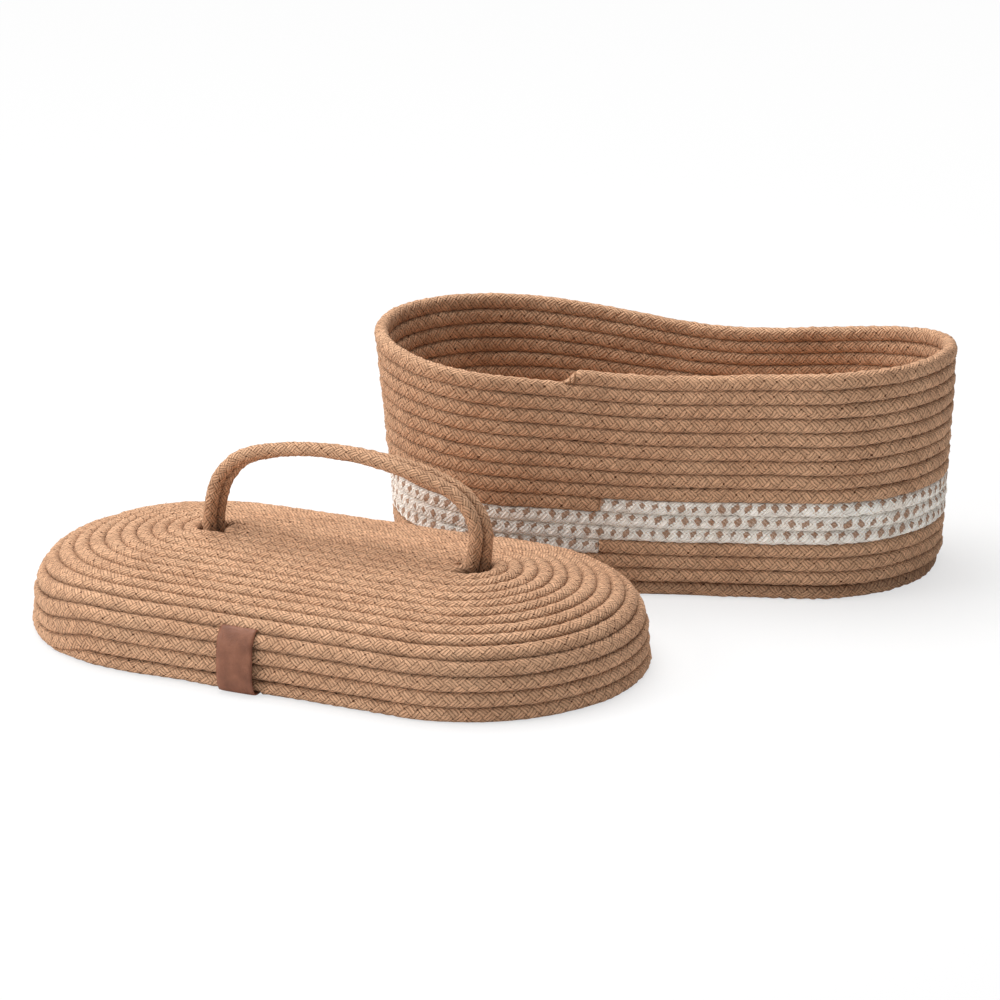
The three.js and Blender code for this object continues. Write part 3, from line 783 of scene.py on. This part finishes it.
def lid_growth(walk, ahead=0):
    """Distance of the cord from the ridge, along the outline.

    The inner turns grow evenly. Further out the rows lie level, and each jogs to the next at the left.
    """
    turn, grown = walk["turn"] + ahead, walk["grown"]
    even = turn + grown
    jog_length = 0.075 + 0.014 * np.clip(LID_TURNS - turn, 0, 9)
    jog = np.clip((grown - 0.028) / jog_length, 0, 1) * (turn <= LID_TURNS)
    level = turn - 1 + jog * jog * (3 - 2 * jog) + SEAM_GROWN + 0.5
    levelled = np.clip((even - 5) / 8, 0, 1)
    return LID_PITCH * (0.25 + even + (level - even) * levelled)


def lid_middle(walk, ahead=0):
    """Middle of the lid's cord, before the lid is put in its place."""
    reach = lid_growth(walk, ahead)
    turn = walk["turn"] + ahead
    radius, z = on_outline(reach)
    radius = radius + np.minimum(reach, 0)
    z = z - np.maximum(reach - lid_length[-1], 0)
    hairpin = (turn == 0) & (walk["left"] > 0)
    radius = np.where(hairpin, LID_PITCH / 2, radius)
    cx = np.where((turn == 0) & (walk["right"] > 0), SHORT_RIGHT, walk["cx"])
    cx = np.where(walk["left"] > 0, -left_end(turn), cx)
    return oval_point(cx, walk["angle"], radius, z, np.where(hairpin, LID_PITCH / 4, 0))


def lid_rows(walk):
    """Middle, direction across the rows and half the room between the rows, along the lid's cord."""
    middle = lid_middle(walk)
    reach = lid_growth(walk)
    slope = np.subtract(on_outline(reach + 1), on_outline(reach - 1))
    across = unit(np.stack([slope[0] * np.cos(walk["angle"]), slope[0] * np.sin(walk["angle"]), slope[1]], 1))
    room = np.linalg.norm(lid_middle(walk, 1) - middle, axis=1)
    below = np.linalg.norm(lid_middle(walk, -1) - middle, axis=1)
    inner = walk["turn"] < 2
    room = np.where(inner, LID_PITCH, np.where(walk["turn"] >= LID_TURNS, below, np.minimum(room, below)))
    pressed = 0.52
    half_room = np.clip(room / 2, 3.9, 4.7) + pressed
    # the last few centimetres are squeezed in between the lowest row and the floor
    last = walk["turn"] > LID_TURNS
    squeezed = np.clip((lid_middle(walk, -1)[:, 2] - 4.2) / 2, 0.9, LID_REST)
    middle[:, 2] = np.where(last, squeezed, middle[:, 2])
    return middle, across, np.where(last, squeezed + 0.2, half_room)


def lid_walk(first, last, step):
    """All sample points of the lid's cord, turn by turn from the ridge outwards."""
    parts = []
    for turn in range(first, last + 1):
        radius = max(LID_PITCH * (turn + 0.75), 5)
        right_x = SHORT_RIGHT if turn <= 1 else HALF
        left_x = float(left_end(turn))
        front = part_of_loop(turn, "front", right_x, -left_x, radius, step)
        front["grown"][:] = 0
        front["cx"][0] += 3.5 if turn == 0 else 0
        parts.append(front)
        if turn > LID_TURNS:
            parts.append(part_of_loop(turn, "left", 0, 1 / 5, radius, step))
            break
        parts.append(part_of_loop(turn, "left", 0, 1, radius, step))
        parts.append(part_of_loop(turn, "back", -left_x, SHORT_RIGHT if turn == 0 else HALF, radius, step))
        parts.append(part_of_loop(turn, "right", 0, 1, radius, step))
    return joined(parts)


turn_lid = np.array([
    [math.cos(LID_YAW), -math.sin(LID_YAW), 0],
    [math.sin(LID_YAW), math.cos(LID_YAW), 0],
    [0, 0, 1],
])


def on_lid(p):
    """Put points of the lid, modelled about the origin, in the lid's place."""
    return np.asarray(p, float) @ turn_lid.T + LID_SPOT


# where the tag is folded under it, the lowest row lies a little above the floor
FOLD_X, FOLD_HALF, FOLD_ROOM = -9.3, 12.5, 2.3
lid_cord_walk = lid_walk(0, LID_TURNS + 1, LID_STEP)
on_front = (lid_cord_walk["turn"] > LID_TURNS) & (lid_cord_walk["left"] < 1)
over_tag = on_front & (np.abs(lid_cord_walk["cx"] - FOLD_X) < FOLD_HALF)
lid_rope = braided_cord(
    "lid_rope_braid", *lid_rows(lid_cord_walk), sides=16, step=LID_STEP, seed=41, outward=1,
    place=on_lid, ends=(1.5, 6.0), floor=np.where(over_tag, FOLD_ROOM, LOWEST), flat=0.9, relief=0.45)
lid_rope.data.materials.append(tan_cotton)
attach(lid_rope, "lid")
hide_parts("lid_rope")

fibres_on(lid_rope, "lid_rope_fibres", "lid", density=6500.0, length=3.0, seed=9,
          finish=tan_thread)

# Handle ropes: two tan cords side by side, arching over the lid from eye to eye.
# They are sewn to each other all along and to the lid at their feet.
HANDLE_LINE = np.array([
    (-83, 44), (-83, 49), (-83.4, 62), (-80.7, 78), (-75.6, 91), (-63, 103.5),
    (-42, 110.5), (-15, 114.6), (10, 114.6), (38, 112), (63, 106.5), (79.5, 99.5),
    (89.3, 89), (93.4, 77), (92.3, 64), (90, 49), (89.5, 44),
], float)
HANDLE_CORD_HALF = 3.95


def smooth_line(points, n):
    """A smooth curve through the points, with n steps from each to the next."""
    ends = np.concatenate([2 * points[:1] - points[1:2], points, 2 * points[-1:] - points[-2:-1]])
    out = []
    for k in range(1, len(ends) - 2):
        a, b, c, d = ends[k - 1:k + 3]
        t = np.linspace(0, 1, n, endpoint=False)[:, None]
        square, cube = 2 * a - 5 * b + 4 * c - d, 3 * b - a - 3 * c + d
        out.append(0.5 * (2 * b + (c - a) * t + square * t ** 2 + cube * t ** 3))
    return np.concatenate(out + [points[-1:]])


handle_line = smooth_line(HANDLE_LINE, 16)
points_along = len(handle_line)
handle_flat = np.stack([handle_line[:, 0], 0 * handle_line[:, 0], handle_line[:, 1]], 1)
handle_run = unit(np.gradient(handle_flat, axis=0))
# The pair twists on its way. The rear cord sinks behind the front one over the left half and the
# crown, and at the right foot it comes to lie outside.
TWIST_SHARES = (0, 0.15, 0.4, 0.65, 0.8, 0.95)
TWIST_DEGREES = (-11, -16, -18, 0, 22, 46)
handle_share = np.linspace(0, 1, points_along)
pair_turn = np.radians(np.interp(handle_share, TWIST_SHARES, TWIST_DEGREES))[:, None]
rearward = np.array([[0.0, 1.0, 0.0]])
pair_side = rearward * np.cos(pair_turn) + np.cross(handle_run, rearward) * np.sin(pair_turn)
for name, node, side, seed in (
    ("handle_cord_front", "handle_rope_front", -1, 53),
    ("handle_cord_rear", "handle_rope_rear", 1, 59),
):
    pair_middle = np.stack([handle_line[:, 0], np.full(points_along, LID_PITCH / 4), handle_line[:, 1]], 1)
    cord_side = pair_side * side
    cord = braided_cord(
        name, pair_middle + cord_side * HANDLE_CORD_HALF, cord_side, np.full(points_along, HANDLE_CORD_HALF),
        sides=24, step=1.2, seed=seed, outward=side, ends=(1.0, 1.0), place=on_lid, thick=4.1, relief=0.4,
        flat=0.92, free=np.ones(points_along))
    cord.data.materials.append(tan_cotton)
    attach(cord, "handle")
    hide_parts(node)
    fibres_on(cord, name + "_fibres", "handle", density=14000.0, length=2.8, seed=seed,
              finish=tan_thread)

# Leather tag: a strip of brown leather, sewn in under the lid's shoulder, folded round
# the lowest row and taken up inside. Its face is bare.
TAG_WIDTH = 23.0
TAG_X = -12.5
TAG_THICK = 1.2
TAG_SLANT = 3.2
tag_mat = bpy.data.materials.new("brown_leather")
tag_mat.use_nodes = True
tag_tree = tag_mat.node_tree
tag_shader = set_inputs(tag_tree.nodes["Principled BSDF"], {"Roughness": 0.55, "Specular IOR Level": 0.4})
tag_where = tag_tree.nodes.new("ShaderNodeTexCoord")
clouds = soft_noise(tag_tree, tag_where, 120.0, 5.0)
leather = two_tone(
    tag_tree, clouds.outputs["Fac"], dark=(0.155, 0.052, 0.026), light=(0.32, 0.127, 0.068),
    deep=0.25, full=0.8)
tag_tree.links.new(leather, tag_shader.inputs["Base Color"])
pores = tag_tree.nodes.new("ShaderNodeTexVoronoi")
pores.inputs["Scale"].default_value = 900.0
tag_tree.links.new(tag_where.outputs["Object"], pores.inputs["Vector"])
tag_bump = set_inputs(tag_tree.nodes.new("ShaderNodeBump"), {"Strength": 0.5, "Distance": 0.0003})
tag_tree.links.new(pores.outputs["Distance"], tag_bump.inputs["Height"])
tag_tree.links.new(tag_bump.outputs[0], tag_shader.inputs["Normal"])


def beside_skirt(up, off):
    """A place beside the skirt's cord, "up" mm along the skirt from its lowest row."""
    reach = lid_length[-1] - up
    here, ahead = on_outline(reach), on_outline(reach + 0.5)
    slope = np.subtract(ahead, here) / max(np.hypot(*np.subtract(ahead, here)), 1e-6)
    return -(here[0] - slope[1] * off), here[1] + slope[0] * off


# the strip seen from its edge, as places across and up: tucked in, bowed over the skirt, folded
# under it and taken up inside
TUCK = ((31.6, 3.0), (30.2, 4.4))
BOWS = ((27, 0.1), (23, 0.9), (18, 1.9), (12, 3.0), (6, 3.8), (1.5, 3.5))
CORD_SURFACE = 5.35
FOLD = [(-108.9, 1.7), (-106.0, 0.62), (-101.5, 0.62), (-98.4, 0.9)]
INSIDE = [(-96.6, 3.4), (-96.1, 8.0), (-95.6, 15.0), (-95.2, 21.0)]
outer_leg = [beside_skirt(up, off) for up, off in TUCK]
outer_leg += [beside_skirt(up, CORD_SURFACE + bow) for up, bow in BOWS]
tag_line = smooth_line(np.array(outer_leg + FOLD + INSIDE), 5)
tag_run = unit(np.gradient(np.concatenate([tag_line, np.zeros((len(tag_line), 1))], 1), axis=0))[:, :2]
tag_side = np.stack([tag_run[:, 1], -tag_run[:, 0]], 1)
columns = np.linspace(0, 1, 14)
# The strip slants to the right on its way down. It is its outer leg where it stands further out than
# TAG_UNDER or higher than TAG_OUTER, and past that its fold and its inner leg.
TAG_TOP, TAG_OUTER, TAG_UNDER = 31, 22, -101
tag_points, tag_faces = [], []
for face in (1, -1):
    for across_up, side in zip(tag_line, tag_side):
        outside = across_up[0] < TAG_UNDER
        for f in columns:
            swell = 0.3 * math.sin(math.pi * f) if outside else 0.0
            half_thick = TAG_THICK * (0.35 if f in (columns[0], columns[-1]) else 0.5)
            spot = across_up + side * (half_thick * face) + np.array([-swell, 0])
            slant = TAG_SLANT
            if outside or across_up[1] > TAG_OUTER:
                slant = TAG_SLANT * (1 - min(across_up[1] / TAG_TOP, 1))
            tag_points.append((TAG_X + slant + TAG_WIDTH * (f - 0.5), spot[0], max(spot[1], LOWEST)))
rows, cols = len(tag_line), len(columns)
layer_size = rows * cols
for r in range(rows - 1):
    for c in range(cols - 1):
        a = r * cols + c
        tag_faces.append((a, a + 1, a + cols + 1, a + cols))
        a += layer_size
        tag_faces.append((a, a + cols, a + cols + 1, a + 1))
rim = list(range(cols)) + [r * cols + cols - 1 for r in range(1, rows)]
rim += [(rows - 1) * cols + c for c in range(cols - 2, -1, -1)] + [r * cols for r in range(rows - 2, 0, -1)]
for k, a in enumerate(rim):
    b = rim[(k + 1) % len(rim)]
    tag_faces.append((b, a, a + layer_size, b + layer_size))
tag_mesh = bpy.data.meshes.new("leather_tag_strip")
tag_mesh.from_pydata([tuple(p) for p in on_lid(tag_points) * MM], [], tag_faces)
tag_mesh.update()
tag = add_object("leather_tag_strip", tag_mesh)
tag.data.materials.append(tag_mat)
tag.data.shade_smooth()
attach(tag, "lid")
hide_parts("leather_tag")

# Studio: a white floor that runs into a white background, a large soft light overhead,
# a second one from the left and a weak fill from the front.
FLOOR_REACH, FLOOR_LEVEL = 12, -0.0005
signs = ((-1, -1), (1, -1), (1, 1), (-1, 1))
corners = [(x * FLOOR_REACH, y * FLOOR_REACH, FLOOR_LEVEL) for x, y in signs]
floor_mesh = bpy.data.meshes.new("studio_floor")
floor_mesh.from_pydata(corners, [], [(0, 1, 2, 3)])
floor = add_object("studio_floor", floor_mesh)
floor_mat = bpy.data.materials.new("studio_white")
floor_mat.use_nodes = True
floor_tree = floor_mat.node_tree
lit = set_inputs(floor_tree.nodes["Principled BSDF"], {"Base Color": (0.9, 0.9, 0.9, 1), "Roughness": 0.9})


def length_of(vector):
    node = floor_tree.nodes.new("ShaderNodeVectorMath")
    node.operation = "LENGTH"
    floor_tree.links.new(vector, node.inputs[0])
    return node.outputs["Value"]


# seen by the camera, the floor glows more the further it lies from the basket
spread = floor_tree.nodes.new("ShaderNodeTexCoord")
fade = remapped(floor_tree, length_of(spread.outputs["Object"]), 0.3, 1.1, 0.66, 0.95)
# under the lid's resting place the floor gets no glow, so the eyes at the handle's feet stay dark; at rest
# the lid's shadow falls there, and the darker oval is painted shade that stays wherever the lid is put
lid_oval = floor_tree.nodes.new("ShaderNodeMapping")
lid_oval.vector_type = "TEXTURE"
set_inputs(lid_oval, {
    "Location": tuple(LID_SPOT * MM), "Rotation": (0, 0, LID_YAW), "Scale": (0.18, 0.095, 1.0),
})
floor_tree.links.new(spread.outputs["Object"], lid_oval.inputs["Vector"])
beyond_lid = remapped(floor_tree, length_of(lid_oval.outputs["Vector"]), 0.6, 1.0)
glow_share = maths(floor_tree, "MULTIPLY", fade, beyond_lid)
glow = floor_tree.nodes.new("ShaderNodeEmission")
glow.inputs["Strength"].default_value = 1.0
seen = floor_tree.nodes.new("ShaderNodeLightPath")
both = floor_tree.nodes.new("ShaderNodeMixShader")
floor_tree.links.new(maths(floor_tree, "MULTIPLY", seen.outputs["Is Camera Ray"], glow_share), both.inputs[0])
floor_tree.links.new(lit.outputs[0], both.inputs[1])
floor_tree.links.new(glow.outputs[0], both.inputs[2])
floor_tree.links.new(both.outputs[0], floor_tree.nodes["Material Output"].inputs[0])
floor.data.materials.append(floor_mat)

# the world lights the object softly, and the camera sees it as plain white
world = bpy.data.worlds.new("studio_world")
bpy.context.scene.world = world
world.use_nodes = True
world_tree = world.node_tree
world_tree.nodes.clear()
world_out = world_tree.nodes.new("ShaderNodeOutputWorld")
ray = world_tree.nodes.new("ShaderNodeLightPath")
pick = world_tree.nodes.new("ShaderNodeMixShader")
world_tree.links.new(ray.outputs["Is Camera Ray"], pick.inputs[0])
for k, strength in enumerate((0.27, 1.0)):
    white = set_inputs(world_tree.nodes.new("ShaderNodeBackground"), {
        "Color": (1, 1, 1, 1), "Strength": strength,
    })
    world_tree.links.new(white.outputs[0], pick.inputs[1 + k])
world_tree.links.new(pick.outputs[0], world_out.inputs[0])

for name, spot, size, power, aim in (
    ("overhead", (-0.5, 0.4, 2.1), 1.8, 53, (-0.1, 0, 0)),
    ("left_key", (-2.5, -0.9, 1.3), 1.4, 36, (-0.1, 0, 0.05)),
    ("front_fill", (0.6, -2.4, 0.8), 1.6, 1, (-0.1, 0, 0.05)),
):
    data = bpy.data.lights.new(name, "AREA")
    data.size = size
    data.energy = power
    lamp = add_object(name, data)
    lamp.location = spot
    lamp.rotation_euler = (Vector(aim) - Vector(spot)).to_track_quat("-Z", "Y").to_euler()

# Camera: far off with a long lens, at the photograph's viewing angle. Angle, distance and
# the spot on the floor that it looks at come from the outlines of the basket and the lid.
AZIMUTH, ELEVATION, DISTANCE = math.radians(5.3), math.radians(17.9), 2.347
LOOK_AT = Vector((-0.1164, 0.0988, 0))
cam_data = bpy.data.cameras.new("camera")
cam_data.lens = 126.0
cam_data.sensor_width = 36.0
cam_data.clip_end = 50.0
cam = add_object("camera", cam_data)
back = Vector((
    math.sin(AZIMUTH) * math.cos(ELEVATION),
    -math.cos(AZIMUTH) * math.cos(ELEVATION),
    math.sin(ELEVATION),
))
cam.location = LOOK_AT + back * DISTANCE
cam.rotation_euler = back.to_track_quat("Z", "Y").to_euler()
bpy.context.scene.camera = cam
bpy.context.scene.view_settings.view_transform = "Standard"
